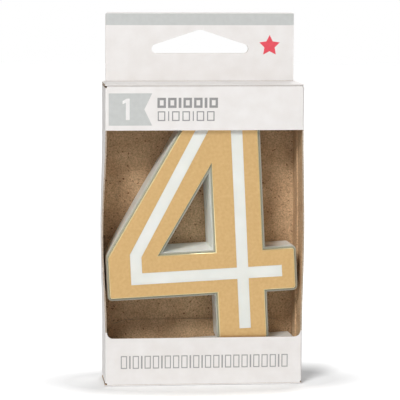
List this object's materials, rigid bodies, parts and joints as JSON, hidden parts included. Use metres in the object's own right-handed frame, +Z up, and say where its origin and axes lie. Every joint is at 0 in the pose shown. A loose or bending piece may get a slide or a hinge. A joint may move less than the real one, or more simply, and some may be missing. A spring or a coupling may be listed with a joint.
{
  "type": "number birthday candle in a hanging window carton",
  "caption": "Figure-4 birthday candle of white wax with a gold face and a cake pick, leaning in a paperboard window carton with a hanging tab and tuck-in ends.",
  "frame": {"origin": "middle of the carton's base, where it stands", "axes": "+Z up the carton towards the hanging tab, +X to the right seen from the window, -Y out of the window"},
  "size_m": [0.0537, 0.0152, 0.0981],
  "materials": {
    "white_board": "satin clay-coated white outside, uncoated brown kraft inside",
    "board_print": "matte grey print on the white board",
    "white_wax": "smooth moulded paraffin wax",
    "gold_coat": "satin metallic gold coat",
    "cotton_wick": "waxed braided cotton",
    "white_plastic": "moulded food-safe plastic"
  },
  "bodies": {
    "carton": {"back_panel": "white_board", "hang_tab_front": "white_board", "left_side_panel": "white_board", "right_side_panel": "white_board", "glue_flap": "white_board", "front_upper_band": "white_board", "front_lower_band": "white_board"},
    "candle": {"wax_body": "white_wax", "gold_face_outer": "gold_coat", "gold_face_inner": "gold_coat", "wick": "cotton_wick", "cake_pick": "white_plastic"},
    "top_lid": {"top_lid": "white_board"},
    "top_tuck_flap": {"top_tuck_flap": "white_board"},
    "top_dust_flap_left": {"top_dust_flap_left": "white_board"},
    "top_dust_flap_right": {"top_dust_flap_right": "white_board"},
    "bottom_lid": {"bottom_lid": "white_board"},
    "bottom_tuck_flap": {"bottom_tuck_flap": "white_board"},
    "bottom_dust_flap_left": {"bottom_dust_flap_left": "white_board"},
    "bottom_dust_flap_right": {"bottom_dust_flap_right": "white_board"}
  },
  "joints": [
    {"name": "candle_lift", "type": "slide", "parent": "carton", "child": "candle", "axis": [0, 0, 1], "range_m": [0, 0.0008]},
    {"name": "top_lid_hinge", "type": "hinge", "parent": "carton", "child": "top_lid", "pos_m": [0, 0.00673, 0.0798], "axis": [-1, 0, 0], "range_deg": [0, 80]},
    {"name": "top_tuck_hinge", "type": "hinge", "parent": "top_lid", "child": "top_tuck_flap", "pos_m": [0, -0.00637, 0.0794], "axis": [-1, 0, 0], "range_deg": [-54.4, 0]},
    {"name": "top_dust_left_hinge", "type": "hinge", "parent": "carton", "child": "top_dust_flap_left", "pos_m": [-0.02615, 0, 0.07935], "axis": [0, -1, 0], "range_deg": [0, 32]},
    {"name": "top_dust_right_hinge", "type": "hinge", "parent": "carton", "child": "top_dust_flap_right", "pos_m": [0.02615, 0, 0.07935], "axis": [0, 1, 0], "range_deg": [0, 32]},
    {"name": "bottom_lid_hinge", "type": "hinge", "parent": "carton", "child": "bottom_lid", "pos_m": [0, -0.00755, 0], "axis": [-1, 0, 0], "range_deg": [0, 55]},
    {"name": "bottom_tuck_hinge", "type": "hinge", "parent": "bottom_lid", "child": "bottom_tuck_flap", "pos_m": [0, 0.0066, 0.0004], "axis": [-1, 0, 0], "range_deg": [-49.5, 0]},
    {"name": "bottom_dust_left_hinge", "type": "hinge", "parent": "carton", "child": "bottom_dust_flap_left", "pos_m": [-0.02615, 0, 0.00045], "axis": [0, 1, 0], "range_deg": [0, 22]},
    {"name": "bottom_dust_right_hinge", "type": "hinge", "parent": "carton", "child": "bottom_dust_flap_right", "pos_m": [0.02615, 0, 0.00045], "axis": [0, -1, 0], "range_deg": [0, 22]}
  ],
  "couplings": [
    {"joint": "top_tuck_hinge", "follows": "top_lid_hinge", "ratio": -0.68},
    {"joint": "top_dust_left_hinge", "follows": "top_lid_hinge", "ratio": 0.4},
    {"joint": "top_dust_right_hinge", "follows": "top_lid_hinge", "ratio": 0.4},
    {"joint": "bottom_tuck_hinge", "follows": "bottom_lid_hinge", "ratio": -0.9},
    {"joint": "bottom_dust_left_hinge", "follows": "bottom_lid_hinge", "ratio": 0.4},
    {"joint": "bottom_dust_right_hinge", "follows": "bottom_lid_hinge", "ratio": 0.4}
  ]
}
